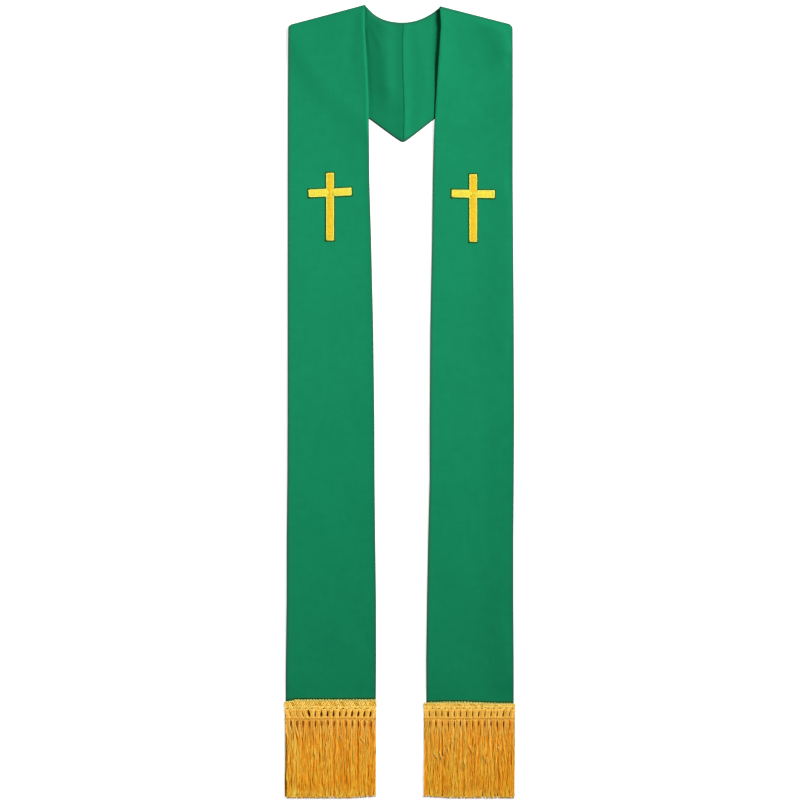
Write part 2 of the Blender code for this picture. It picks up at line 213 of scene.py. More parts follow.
# Heading of the fringe
BUNCHES = 15
GIMP_END_Y = -492.4 * MM
CHAIN_TOP_Y = -504.4 * MM
CHAIN_Y = -511 * MM
FRINGE_END_Y = -634.1 * MM
SLIT_LEAN = math.radians(16)
HEADING_INSET = 0.7 * MM
HEADING_UNDER = CLOTH + LAYER_GAP
HEADING_TOP = 3.8 * MM
FLOOR_CLEARANCE = 0.3 * MM
PICOT_PITCH = 4.8 * MM
HOLE_Y = -489.6 * MM
WRAPS = table("pitch run drop radius", (2.3, -4.5, 0.6, 0.8), (2.9, 5.5, 0.0, 0.85))  # millimetres
EYE_CORDS = table("offset swing radius", (0.55, 0.75, 0.6), (1.75, 0.35, 0.62), (2.75, 0.1, 0.55))
EYE_STEPS = 14
NECK_THREADS = 11
NECK_THREAD = 0.55 * MM
CHAIN_WAVE = 6.6 * MM
CHAIN_SWING = 0.95 * MM
CHAIN_ROWS = table("y radius", (-504.5, 0.75), (-506.6, 0.8), (-508.6, 0.75))
SEWING_PITCH = 4.1 * MM
TAPE_STEPS = 40

# Hanging threads
STRAND_START = 3.4 * MM  # how far up into the chain the threads begin
PINCH_DOWN = 2.6 * MM  # how far below the chain a bunch is narrowest
PINCH_REACH = 3.6 * MM
UNDER_LAYERS = (0.7 * MM, 1.15 * MM)
UNDER_THREADS = 9  # in each bunch and layer
UNDER_RADIUS = 0.95 * MM
UNDER_STEPS = 15
UNDER_SHORTER = 3 * MM
LOCK_LAYERS = (1.9 * MM, 2.5 * MM)
LOCKS = 4  # in each bunch and layer
LOCK_DIVE = 1.3 * MM
LOCK_THREADS = 4
STRAND_RADIUS = 0.42 * MM
STRAND_STEPS = 43
LOOSE_THREADS = 26
LOOSE_HEIGHT = 3.2 * MM
WISPS = 12
SIDE_SOFTNESS = 3 * MM
END_RAGGEDNESS = 1.5 * MM
INNER_SHORTER = 2.6 * MM  # how much shorter a fringe is cut towards the other front
INNER_SHORTER_REACH = 50 * MM
Gap = namedtuple("Gap", "depth reach")
Bunch = namedtuple("Bunch", "centre lean gap_before gap_after")
Lock = namedtuple("Lock", "bunch wave_seed drift closing")
UNDER_GAP = Gap(0.33, PINCH_REACH)
SEED = 11
NOISE_SPAN = 400

# Colours: each list of stops runs from the darkest thread to the brightest
# the dark green of the painted shade along edges and the shoulder fold
PAINTED_SHADE_GREEN = (0.012, 0.095, 0.05)
FRINGE_TINTS_WITH_PAINTED_TIPS = (  # multiplied in along each hanging thread, from its end (0) up to the chain (1); the paler ends are a painted highlight
    (0.0, (1.0, 1.2, 1.4)),
    (0.07, (1.0, 1.12, 1.2)),
    (0.14, (1.0, 0.98, 0.75)),
    (0.2, (1.0, 0.96, 0.68)),
    (0.44, (1.0, 1.0, 0.92)),
    (0.76, (1.0, 0.96, 1.0)),
    (0.9, (0.95, 0.96, 1.4)),
    (1.0, (0.97, 1.0, 1.7)),
)
THREAD = "name roughness specular stops mottle cloud_scale hangs"
USUAL_THREAD = (0.4, 130, False)
# The upright and the arms are one gold thread: their two golds, and the upright's broad mottling, are
# painted sheen, as their stitches run two ways
EMBROIDERY_THREADS = table(
    THREAD,
    ("embroidery upright", 0.45, 0.12, ((0.2, (0.58, 0.43, 0.028)), (0.8, (0.76, 0.46, 0.016))), 0.4, 22),
    ("embroidery arm", 0.45, 0.12, ((0.1, (0.68, 0.56, 0.04)), (0.9, (0.76, 0.62, 0.06)))),
    ("embroidery border", 0.45, 0.12, ((0.1, (0.52, 0.62, 0.12)), (0.9, (0.58, 0.66, 0.16)))),
    ("embroidery outline", 0.8, 0.0, ((0.1, (0.018, 0.06, 0.002)), (0.9, (0.032, 0.085, 0.004)))),
    defaults=USUAL_THREAD,
)
GIMP_STOPS = (0.1, (0.56, 0.29, 0.03)), (0.5, (0.87, 0.52, 0.07)), (1.0, (1.0, 0.69, 0.16))
CHAIN_STOPS = (0.1, (0.47, 0.196, 0.017)), (0.5, (0.72, 0.353, 0.045)), (1.0, (0.86, 0.475, 0.08))
NECK_STOPS = (0.1, (0.55, 0.26, 0.03)), (0.5, (0.84, 0.45, 0.06)), (1.0, (0.97, 0.58, 0.12))
TRIM_THREADS = table(
    THREAD,
    ("fringe gimp", 0.5, 0.2, GIMP_STOPS, 1.2, 380),
    ("fringe picot", 0.5, 0.2, ((0.1, (0.66, 0.5, 0.10)), (0.9, (0.84, 0.67, 0.19)))),
    ("sewing thread", 0.8, 0.0, ((0.1, (0.026, 0.06, 0.003)), (0.9, (0.045, 0.085, 0.005)))),
    ("fringe chain", 0.5, 0.2, CHAIN_STOPS, 1.2, 380),
    ("fringe neck", 0.5, 0.2, NECK_STOPS, 1.2, 380),
    defaults=USUAL_THREAD,
)
STRAND_STOPS = (0.1, (0.95, 0.26, 0.010)), (0.5, (1.0, 0.43, 0.022)), (1.0, (1.0, 0.58, 0.06))
BRIGHT_STOPS = (0.1, (1.0, 0.44, 0.025)), (1.0, (1.0, 0.66, 0.10))
HANGING_THREADS = table(
    THREAD,
    # the lower threads are coloured darker and redder as painted shade, for the shade between the locks
    # above them
    ("fringe under", 0.6, 0.1, ((0.1, (0.70, 0.20, 0.010)), (0.9, (0.88, 0.29, 0.018))), 0.4, 130, True),
    ("fringe strand", 0.45, 0.3, STRAND_STOPS, 1.2, 170, True),
    ("fringe bright strand", 0.42, 0.35, BRIGHT_STOPS, 1.0, 170, True),
    ("fringe loose strand", 0.42, 0.35, ((0.1, (1.0, 0.50, 0.04)), (1.0, (1.0, 0.60, 0.07)))),
    ("fringe wisp", 0.42, 0.35, ((0.1, (1.0, 0.62, 0.09)), (1.0, (1.0, 0.72, 0.17)))),
    defaults=USUAL_THREAD,
)

# How the two sides differ: each value is in its row's unit
SIDE_ROWS = table(
    "field unit left right",
    ("peak_x", MM, -56.0, 64.2),
    ("peak_y", MM, 634.9, 632.2),
    ("fold_drop", MM, 32.2, 29.0),
    ("yoke_slope", 1, 0.741, 0.79),
    ("neck_flat", MM, 42, 34),
    ("neck_bend_x", MM, 52, 56.5),
    ("neck_bend_y", MM, 627, 630.5),
    ("neck_lift", MM, 3.4, 6.6),
    ("corner_lift", MM, 0.6, 2.4),
    ("corner_rounding", MM, 5.5, 8),
    ("edge_rise", MM, 0.2, 2.0),
    ("curl_height", MM, 0.8, 2.4),
    ("curl_reach", MM, 12, 16),
    ("curl_start_y", MM, 440, 474),
    ("curl_full_y", MM, 530, 548),
    ("curl_fading", 1, 0.0, 0.6),
    ("roll_drop", MM, 2.4, 0.6),
    ("edge_thinning", 1, 0.45, 0.15),
    # how far the painted edge shade reaches, wider on edges that face away from the light
    ("inner_rim", 1, LIT_EDGE_PAINTED_SHADE, SHADED_EDGE_PAINTED_SHADE),
    ("outer_rim", 1, SHADED_EDGE_PAINTED_SHADE, LIT_EDGE_PAINTED_SHADE),
    ("seam_drop", MM, 0.0, 1.3),
    ("tuck", 1, 0.0, 0.9),
    ("hollow", MM, 1.6, 0.0),
    ("cross_x", MM, -111.9, 117.0),
    ("cross_top", MM, 366.3, 364.0),
    ("arm_tilt", DEGREE, 2.6, -1.2),
    ("low_x", MM, -184.9, 37.5),
    ("high_x", MM, -37.6, 184.6),
    ("heading_y", MM, -476.5, -481.1),
    ("wrap_fullness", 1, 1.12, 1.0),
    ("parting", 1, 1.1, 0.7),
    ("untidiness", 1, 0.6, 1.0),
)
Side = namedtuple("Side", ["name", "sign"] + [row.field for row in SIDE_ROWS])
LEFT = Side("left", -1, *(row.left * row.unit for row in SIDE_ROWS))
RIGHT = Side("right", 1, *(row.right * row.unit for row in SIDE_ROWS))


# Plan of the cloth


def smooth(share):
    share = min(1.0, max(0.0, share))
    return share * share * (3 - 2 * share)


def fall(distance, reach):
    """From 1 on a line or at an edge to 0 well beyond this reach."""
    return math.exp(-((distance / reach) ** 2))


def blend(low, high, share):
    return low + (high - low) * share


def drift(*place):
    return noise.noise(Vector(place))


def bezier(t, start, first, second, end):
    back = 1 - t
    return start * back**3 + first * 3 * back * back * t + second * 3 * back * t * t + end * t**3


def offset_from(start, end, point):
    """The way to a point from the nearest one on a line between two others."""
    line = end - start
    share = (point - start).dot(line) / line.length_squared
    return point - start - line * min(1.0, max(0.0, share))


def edge_x(side, edge, y):
    """Where the inner or outer edge of a front lies at height y, from the table of sections."""
    for upper, lower in zip(FRONT_SECTIONS, FRONT_SECTIONS[1:]):
        if y >= lower.y * MM:
            break
    column = f"{side.name}_{edge}"
    share = (upper.y * MM - y) / ((upper.y - lower.y) * MM)
    return blend(getattr(upper, column), getattr(lower, column), max(0.0, share)) * MM


def seam_point(side, reach, y):
    return Vector((CENTRE_SEAM_X + side.sign * reach, y))


def neck_peak(side):
    return Vector((side.peak_x, side.peak_y))


def outer_corner(side):
    return Vector((edge_x(side, "outer", side.peak_y), side.peak_y - side.fold_drop))


def fold_axes(side):
    along = (outer_corner(side) - neck_peak(side)).normalized()
    return along, Vector((-side.sign * abs(along.y), -abs(along.x)))


def lift(side, u):
    return blend(side.neck_lift, side.corner_lift, smooth(u))


def fold_radius(side, u):
    return (FRONT_OVER_YOKE + lift(side, u) - CLOTH) / 2


def corner_inset(side, distance):
    left = max(0.0, side.corner_rounding - distance)
    return side.corner_rounding - math.sqrt(side.corner_rounding**2 - left**2)


def fold_point(side, u, angle, out=0.0):
    """A point round the fold, out from its lining side: -90 degrees is the yoke, 90 the front."""
    along, inward = fold_axes(side)
    inner_radius = fold_radius(side, u)
    radius = inner_radius + CLOTH
    turn = math.radians(angle)
    inset = u * corner_inset(side, fold_radius(side, 1) * (1 - math.cos(turn)))
    tilt = side.fold_drop / abs(outer_corner(side).x - neck_peak(side).x)
    plan = (
        neck_peak(side).lerp(outer_corner(side), u)
        + inward * FOLD_FLATNESS * (radius - (inner_radius + out) * math.cos(turn))
        + along * (radius * tilt * math.sin(turn) - inset)
    )
    return Vector((plan.x, plan.y, CLOTH + inner_radius + (inner_radius + out) * math.sin(turn)))


def neck_point(side, t):
    """The neck edge, from the centre seam (0) to the fold (1)."""
    start = seam_point(side, 0, NECK_BOTTOM_Y)
    first = seam_point(side, side.neck_flat, NECK_BOTTOM_Y)
    second = seam_point(side, side.neck_bend_x, side.neck_bend_y)
    return bezier(t, start, first, second, fold_point(side, 0, -90).xy)


def yoke_hem_point(side, t):
    """The yoke's lower edge, from its point (0) to the outer corner (1)."""
    slope = side.yoke_slope
    bend = seam_point(side, YOKE_STRAIGHT, YOKE_TIP_Y + slope * YOKE_STRAIGHT)
    corner = fold_point(side, 1, -90).xy
    straight = YOKE_STRAIGHT * math.hypot(1, slope)
    curved = (corner - bend).length
    travelled = t * (straight + curved)
    if travelled < straight:
        reach = travelled / math.hypot(1, slope)
        return seam_point(side, reach, YOKE_TIP_Y + math.hypot(slope * reach, YOKE_TIP_ROUNDING))
    along, _ = fold_axes(side)
    leaving = Vector((side.sign, slope)).normalized() * YOKE_CORNER_HANDLE
    # The outer edge runs on through the fold, so it comes back mirrored in the fold line.
    up = Vector((0, 1))
    arriving = (2 * up.dot(along) * along - up) * YOKE_CORNER_HANDLE
    return bezier((travelled - straight) / curved, bend, bend + leaving, corner + arriving, corner)


def beyond_yoke(hem, point):
    """How far a point in plan lies outside the yoke's lower edge, or 0 over the yoke."""
    covered = False
    for start, end in zip(hem, hem[1:]):
        if min(start.x, end.x) <= point.x <= max(start.x, end.x):
            covered = point.y >= blend(start.y, end.y, (point.x - start.x) / (end.x - start.x))
    if covered:
        return 0.0
    return min(offset_from(start, end, point).length for start, end in zip(hem, hem[1:]))


def front_height(side, hem, u, point, run):
    """The underside of a front: run is the distance down the band from its fold."""
    if point.y < LEVEL_Y:
        return 0.0
    settling = 1 - smooth(beyond_yoke(hem, point) / SETTLE_LENGTH)
    fade = blend(NECK_LIFT_FADE, CORNER_LIFT_FADE, u)
    return FRONT_OVER_YOKE * settling + lift(side, u) * (1 - smooth(run / fade))


# Relief of the cloth


def crease_height(creases, x, y):
    """The sum of soft ridges and troughs at a point, each faded towards its two ends."""
    total = 0.0
    for crease in creases:
        start, end = Vector((crease.x0, crease.y0)), Vector((crease.x1, crease.y1))
        offset = offset_from(start, end, Vector((x, y)) / MM)
        width = crease.left_width if offset.x < 0 else crease.right_width
        total += crease.height * fall(offset.length, width)
    return total * MM


def seam_bulk(near):
    """Extra thickness where the turnings lie inside an edge of the band."""
    return SEAM_BULK * fall(near, SEAM_BULK_REACH)


def pressed(side, y):
    """From 0 where the heading is sewn on and holds the cloth flat to 1 well above it."""
    return smooth((y - side.heading_y) / PRESSED_LENGTH)


def front_waves(side, x, y, near, outer_distance):
    """How far a front has risen in soft waves, with its edges a little higher than its middle."""
    uneven = 0.75 + 0.5 * drift(y * 5, side.sign * 2.0, 4.0)
    waves = DISH * fall(near, DISH_REACH)
    waves += side.edge_rise * uneven * fall(outer_distance, EDGE_RISE_REACH)
    waves += WAVE_HEIGHT * (1 + drift(x * 14, y * 9, side.sign * 3.0))
    waves += crease_height(FRONT_CREASES[side.name], x, y)
    return (waves + math.hypot(waves, WAVE_FLOOR)) / 2 * pressed(side, y)


def curl(side, inner_distance, y):
    """The rise of a front's inner edge beside the neck."""
    along = smooth((y - side.curl_start_y) / (side.curl_full_y - side.curl_start_y))
    along *= 1 - side.curl_fading * smooth((y - side.curl_full_y) / CURL_FADE)
    return side.curl_height * along * fall(inner_distance, side.curl_reach)


def rolled_edge(inner_distance, y):
    """How far the inner edge turns down beside the neck, where it catches the light."""
    left = max(0.0, 1 - inner_distance / ROLL_REACH)
    easing = 1 - 0.6 * smooth((y - ROLL_EASE_Y) / ROLL_EASE_LENGTH)
    return left**1.5 * smooth((y - ROLL_START_Y) / ROLL_START_LENGTH) * easing


def front_top(side, x, y):
    """The upper side of a front well below its fold."""
    outer = abs(x - edge_x(side, "outer", y))
    near = min(abs(x - edge_x(side, "inner", y)), outer)
    return CLOTH + seam_bulk(near) + front_waves(side, x, y, near, outer)


# Meshes


def new_object(name, data):
    obj = bpy.data.objects.new(name, data)
    bpy.context.scene.collection.objects.link(obj)
    return obj


def mesh_object(name, verts, faces, repair=True):
    mesh = bpy.data.meshes.new(name)
    mesh.from_pydata(verts, [], faces)
    if repair:
        bm = bmesh.new()
        bm.from_mesh(mesh)
        bmesh.ops.recalc_face_normals(bm, faces=bm.faces)
        bm.to_mesh(mesh)
        bm.free()
    mesh.shade_smooth()
    return new_object(name, mesh)


def bridge(rings, base=0):
    """The vertices of rings of equal length, numbered from base, and the faces between them."""
    size = len(rings[0])
    faces = []
    for low in range(base, base + (len(rings) - 1) * size, size):
        for k in range(size):
            after = (k + 1) % size
            faces.append((low + k, low + after, low + size + after, low + size + k))
    return [tuple(point) for points in rings for point in points], faces


def roundness(distance, roll):
    """From 0 at the very edge of a cloth to 1 past its rolled rim."""
    left = max(0.0, 1 - distance / roll)
    return math.sqrt(max(0.0, 1 - left * left))


def stations(width, middle_columns=MIDDLE_COLUMNS):
    """Places across a section, crowded at its edges: share, distance to an edge, roundness."""
    near = [step / width for step in EDGE_STEPS]
    last = near[-1]
    middle = [blend(last, 1 - last, k / middle_columns) for k in range(1, middle_columns)]
    for u in near + middle + [1 - share for share in reversed(near)]:
        distance = min(u, 1 - u) * width
        yield u, distance, roundness(distance, EDGE_ROLL)


def ring(pairs):
    """One closed section from pairs of a lining-side and a face-side point."""
    return [pair[0] for pair in pairs] + [pair[1] for pair in pairs[-2:0:-1]]


def wall_pair(plan, height, thickness, share):
    """The two sides of a wall whose lining side is at this height: share is its roundness.

    The thickness is negative where the wall lies below its lining side.
    """
    middle = height + thickness / 2
    reach = thickness / 2 * share
    return Vector((*plan, middle - reach)), Vector((*plan, middle + reach))


def painted_edge_shade(column, count, inner_rim, outer_rim):
    """How much a column, of this many across, takes of the painted shade along an edge."""
    from_edge = min(column, count - 1 - column)
    if from_edge >= len(EDGE_STEPS):
        return 0.0
    return fall(EDGE_STEPS[from_edge], inner_rim if column < count / 2 else outer_rim)


def lofted(name, rings, inner_rim, outer_rim, fold_painted_shades=()):
    """A closed skin through rings, its two ends filled by strips and its edges marked for painted shade.
    """
    size = len(rings[0])
    half = size // 2
    verts, faces = bridge(rings)
    for base in (0, len(verts) - size):
        faces.append((base, base + 1, base + size - 1))
        for k in range(1, half - 1):
            faces.append((base + k, base + k + 1, base + size - k - 1, base + size - k))
        faces.append((base + half - 1, base + half, base + half + 1))
    painted_shades = []
    for points, painted_fold_shade in zip(rings, fold_painted_shades or [0.0] * len(rings)):
        for k, point in enumerate(points):
            column = min(k, size - k)
            shade = painted_edge_shade(column, half + 1, inner_rim, outer_rim)
            # the painted shade fades out along a front's inner edge beside the neck, where it faces the
            # light
            if fold_painted_shades and column < (half + 1) // 2:
                shade *= 1 - smooth((point.y - ROLL_START_Y) / LIT_ROLL_LENGTH)
            painted_shades.append(max(shade, painted_fold_shade))
    skin = mesh_object(name, verts, faces)
    skin.data.attributes.new("rim", "FLOAT", "POINT").data.foreach_set("value", painted_shades)
    return skin


def crowded(rows, crowding):
    return [(k / rows) ** crowding for k in range(rows + 1)]


def yoke_ring(side, t):
    inner, outer = neck_point(side, t), yoke_hem_point(side, t)
    pairs = []
    for u, _, share in stations((outer - inner).length):
        pairs.append(wall_pair(inner.lerp(outer, u), CLOTH, -CLOTH, share))
    return ring(pairs)


def fold_ring(side, angle):
    width = (outer_corner(side) - neck_peak(side)).length
    pairs = []
    for u, _, share in stations(width):
        near = CLOTH / 2 * (1 - share)
        lifted = UP * (curl(side, u * width, side.peak_y) * smooth((angle + 90) / 180))
        pairs.append([fold_point(side, u, angle, out) + lifted for out in (near, CLOTH - near)])
    return ring(pairs)


def front_ring(side, hem, inner_y, outer_y, run):
    inset = corner_inset(side, fold_radius(side, 1) + run)
    inner_end = Vector((edge_x(side, "inner", inner_y), inner_y))
    outer_end = Vector((edge_x(side, "outer", outer_y) - side.sign * inset, outer_y))
    width = (outer_end - inner_end).length
    begun = smooth(run / RELIEF_START)
    pairs = []
    for u, near, share in stations(width):
        plan = inner_end.lerp(outer_end, u)
        under = front_height(side, hem, u, plan, run)
        under += front_waves(side, plan.x, plan.y, near, (1 - u) * width) * begun
        under += curl(side, u * width, plan.y)
        rolled = rolled_edge(u * width, plan.y) * begun
        free_height = max(0.0, under - FRONT_OVER_YOKE) + LAYER_GAP
        under -= min(side.roll_drop, free_height) * rolled
        thickness = CLOTH + seam_bulk(near) * begun * pressed(side, plan.y)
        thickness *= 1 - side.edge_thinning * rolled
        pairs.append(wall_pair(plan, max(0.0, under), thickness, share))
    return ring(pairs)


def band_rings(side):
    """The sections of one band, and how much painted shade each takes at the shoulder fold."""
    rings = [yoke_ring(side, t) for t in crowded(YOKE_ROWS, YOKE_CROWDING)]
    fold_painted_shades = [0.0] * len(rings)
    for angle in range(-90 + FOLD_STEP, 91, FOLD_STEP):
        rings.append(fold_ring(side, angle))
        fold_painted_shades.append(FOLD_PAINTED_SHADE)
    hem = [yoke_hem_point(side, step / 60) for step in range(61)]
    inner_top, outer_top = fold_point(side, 0, 90).y, fold_point(side, 1, 90).y
    for share in crowded(UPPER_ROWS, UPPER_CROWDING)[1:]:
        inner_y, outer_y = blend(inner_top, LEVEL_Y, share), blend(outer_top, LEVEL_Y, share)
        run = inner_top - inner_y
        rings.append(front_ring(side, hem, inner_y, outer_y, run))
        fold_painted_shades.append(FOLD_PAINTED_SHADE * fall(run, FOLD_PAINTED_SHADE_REACH))
    lower_rows = math.ceil((LEVEL_Y - HEM_Y) / LOWER_STEP)
    for k in range(1, lower_rows + 1):
        y = blend(LEVEL_Y, HEM_Y, k / lower_rows)
        rings.append(front_ring(side, hem, y, y, inner_top - y))
        fold_painted_shades.append(0.0)
    return rings, fold_painted_shades


def beside_front(side, plan, covered):
    """The facing's rise beside a front: up to it on the right, with a hollow on the left."""
    outside = max(0.0, -covered)
    room = side.neck_lift * (1 - smooth((side.peak_y - plan.y) / NECK_LIFT_FADE))
    rise = side.tuck * room * max(0.0, 1 - outside / TUCK_REACH) ** 2
    rise *= fall(max(0.0, covered), TUCK_FADE)
    to_seam = smooth(abs(plan.x - CENTRE_SEAM_X) / (30 * MM))
    narrowing = smooth((plan.y - HOLLOW_NARROW_Y) / (45 * MM))
    reach = blend(HOLLOW_REACH, HOLLOW_REACH_AT_FOLD, narrowing)
    depth = side.hollow * blend(HOLLOW_LEFT, 1.0, smooth((plan.y - HOLLOW_END_Y) / (50 * MM)))
    return rise + depth * (1 - fall(outside, reach)) * to_seam


def seam_wander(x, y):
    """The facing's sideways shift where its centre seam strays, fading out away from it."""
    ends = smooth((y - YOKE_TIP_Y) / (60 * MM)) * smooth((NECK_BOTTOM_Y - y) / (25 * MM))
    near = 1 - smooth(abs(x - CENTRE_SEAM_X) / SEAM_WANDER_REACH)
    return -SEAM_WANDER * math.sin(2 * math.pi * (y - SEAM_WANDER_Y) / SEAM_WANDER_LENGTH) * ends * near


def lining_rings(side):
    """The facing, with its soft creases fading out where the front covers it."""
    rings = []
    for t in crowded(LINING_ROWS, LINING_CROWDING):
        inner, outer = neck_point(side, t), yoke_hem_point(side, t)
        width = (outer - inner).length
        margin = LINING_INSET / width
        pairs = []
        for u, near, share in stations(width, LINING_MIDDLE_COLUMNS):
            plan = inner.lerp(outer, blend(margin, 1 - margin, u))
            covered = (plan.x - edge_x(side, "inner", plan.y)) * side.sign
            shown = 1 - smooth((covered + COVER_START) / COVER_FADE)
            shown *= smooth((near + 3 * MM) / (11 * MM))
            relief = crease_height(LINING_CREASES[side.name], plan.x, plan.y) * shown
            relief += beside_front(side, plan, covered) * smooth((near + 3 * MM) / (9 * MM))
            seam_distance = abs(plan.x - CENTRE_SEAM_X)
            relief -= side.seam_drop * (1 - roundness(seam_distance, SEAM_ROLL)) * shown
            plan.x += seam_wander(*plan)
            height = CLOTH + LAYER_GAP + (1 - SWELL) * relief
            pairs.append(wall_pair(plan, height, LINING + SWELL * relief, share))
        rings.append(ring(pairs))
    return rings


# Threads


class Threads:
    """Gathers many thin tubes into one mesh."""

    def __init__(self):
        self.verts = []
        self.faces = []
        self.slots = []

    def tube(self, points, radius, sides=4, slot=0, flatten=1.0):
        turns = [2 * math.pi * (j + 0.5) / sides for j in range(sides)]
        rings = []
        for before, point, after in zip(points[:1] + points, points, points[1:] + points[-1:]):
            ahead = after - before
            across = ahead.cross(UP)
            if across.length_squared < 1e-16:
                across = Vector((1, 0, 0))
            across.normalize()
            above = across.cross(ahead).normalized() * flatten
            offsets = [across * math.cos(turn) + above * math.sin(turn) for turn in turns]
            rings.append([point + offset * radius for offset in offsets])
        verts, faces = bridge(rings, len(self.verts))
        faces.append(tuple(len(self.verts) + j for j in range(sides)))
        self.verts += verts
        faces.append(tuple(len(self.verts) - 1 - j for j in range(sides)))
        self.faces += faces
        self.slots += [slot] * len(faces)

    def cord(self, steps, place, radius, sides=5, slot=0):
        """A tube through the places at even shares of the way, from 0 to 1."""
        self.tube([Vector(place(k / steps)) for k in range(steps + 1)], radius, sides, slot)


# Materials


class Nodes:
    """Adds shader nodes to a material or a world, and links them up."""

    def __init__(self, owner):
        owner.use_nodes = True
        self.tree = owner.node_tree

    def feed(self, node, inputs):
        """Gives inputs of a node their values, or links them from other nodes' outputs."""
        for name, value in inputs.items():
            if isinstance(value, bpy.types.NodeSocket):
                self.tree.links.new(value, node.inputs[name])
            else:
                node.inputs[name].default_value = value

    def add(self, kind, output, inputs, **settings):
        """An output of a new node."""
        node = self.tree.nodes.new("ShaderNode" + kind)
        for name, value in settings.items():
            setattr(node, name, value)
        self.feed(node, inputs)
        return node.outputs[output]

    def coordinates(self, scale=(1, 1, 1)):
        source = self.add("TexCoord", "Object", {})
        return self.add("Mapping", "Vector", {"Vector": source, "Scale": scale})

    def clouds(self, vector, scale, detail=3.0):
        return self.add("TexNoise", "Fac", {"Vector": vector, "Scale": scale, "Detail": detail})

    def ribs(self, vector, direction, spacing, distortion=0.0):
        """Parallel ribs, one every spacing metres."""
        scale = 2 * math.pi / (20 * spacing)
        inputs = {"Vector": vector, "Scale": scale, "Distortion": distortion}
        return self.add("TexWave", "Fac", inputs, bands_direction=direction)

    def combine(self, operation, first, second):
        return self.add("Math", "Value", {0: first, 1: second}, operation=operation)

    def mix(self, factor, first, second, blend_type="MIX"):
        inputs = {"Factor": factor, "A": first, "B": second}
        return self.add("Mix", "Result", inputs, data_type="RGBA", blend_type=blend_type)

    def ramp(self, factor, stops):
        colour = self.add("ValToRGB", "Color", {"Fac": factor})
        elements = colour.node.color_ramp.elements
        while len(elements) < len(stops):
            elements.new(0.5)
        for element, (position, shade) in zip(elements, stops):
            element.position = position
            element.color = (*shade, 1)
        return colour

    def bump(self, height, distance):
        return self.add("Bump", "Normal", {"Height": height, "Distance": distance, "Strength": 0.5})


def new_material(name, colour, roughness, specular):
    material = bpy.data.materials.new(name)
    nodes = Nodes(material)
    shader = nodes.tree.nodes["Principled BSDF"]
    look = {"Base Color": (*colour, 1), "Roughness": roughness, "Specular IOR Level": specular}
    nodes.feed(shader, look)
    material.diffuse_color = (*colour, 1)
    return material, nodes, shader


def cloth_material(name, dark, light, thread_spacing):
    """A smooth fine weave in one colour, a little uneven from yarn to yarn, with painted shade at its
    edges.
    """
    material, nodes, shader = new_material(name, light, 0.62, 0.12)
    tint = (0.1, 1.0, 0.6, 1)
    sheen = {"Sheen Weight": 0.04, "Sheen Roughness": 0.5, "Sheen Tint": tint}
    nodes.feed(shader, {"Specular Tint": tint, **sheen})
    vector = nodes.coordinates()
    patches = nodes.combine("ADD", nodes.clouds(vector, 11, 2.0), nodes.clouds(vector, 70))
    yarns = nodes.clouds(nodes.coordinates((1, 0.04, 1)), 900, 2.0)
    wefts = nodes.clouds(nodes.coordinates((0.04, 1, 1)), 900, 2.0)
    uneven = nodes.combine("ADD", yarns, wefts)
    factor = nodes.combine("MULTIPLY", nodes.combine("ADD", patches, uneven), 0.25)
    colour = nodes.ramp(factor, ((0.38, dark), (0.62, light)))
    # painted shade: the edge attribute mixes edges and the shoulder fold toward a dark green
    rim = nodes.add("Attribute", "Fac", {}, attribute_name="rim")
    colour = nodes.mix(rim, colour, (*PAINTED_SHADE_GREEN, 1))
    warp, weft = [nodes.ribs(vector, direction, thread_spacing) for direction in "XY"]
    weave = nodes.combine("MULTIPLY", warp, weft)
    height = nodes.combine("ADD", weave, nodes.combine("MULTIPLY", uneven, 0.5))
    nodes.feed(shader, {"Base Color": colour, "Normal": nodes.bump(height, 0.03 * MM)})
    return material


def along_fringe(nodes, vector, colour):
    """The tint of a fringe thread along its hang: paler at the chain, deepest above the ends, paler at
    the ends as a painted highlight.
    """
    height = nodes.add("SeparateXYZ", "Y", {"Vector": vector})
    span = {"Value": height, "From Min": FRINGE_END_Y, "From Max": CHAIN_Y}
    tint = nodes.ramp(nodes.add("MapRange", "Result", span), FRINGE_TINTS_WITH_PAINTED_TIPS)
    return nodes.mix(1.0, colour, tint, "MULTIPLY")


def thread_material(thread, twist):
    """Glossy thread: each one has its own shade, and a fine twist along it."""
    plain = thread.stops[-1][1]
    material, nodes, shader = new_material(thread.name, plain, thread.roughness, thread.specular)
    island = nodes.add("NewGeometry", "Random Per Island", {})
    vector = nodes.coordinates()
    lean = nodes.combine("MULTIPLY", nodes.clouds(vector, thread.cloud_scale), thread.mottle)
    shade = nodes.combine("ADD", nodes.combine("MULTIPLY", island, 0.75), lean)
    colour = nodes.ramp(nodes.combine("ADD", shade, 0.2 - thread.mottle / 2), thread.stops)
    if thread.hangs:
        colour = along_fringe(nodes, vector, colour)
    turns = nodes.bump(nodes.ribs(vector, "DIAGONAL", twist, 1.0), 0.06 * MM)
    nodes.feed(shader, {"Specular Tint": (1.0, 0.75, 0.3, 1), "Base Color": colour, "Normal": turns})
    return material


# A plain cloth with no shine, here in dark brown as painted shade.
def painted_shade_backing(name, dark, light):
    material, nodes, shader = new_material(name, light, 1.0, 0.0)
    factor = nodes.clouds(nodes.coordinates((1, 0.1, 1)), 500)
    nodes.feed(shader, {"Base Color": nodes.ramp(factor, ((0.3, dark), (0.7, light)))})
    return material


# Pieces


def dress(side, piece, node):
    """Puts a piece on the stole's one body, in place of a CAD node of its side."""
    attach(piece, "root")
    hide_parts(f"{node}_{side.name}")
    return piece


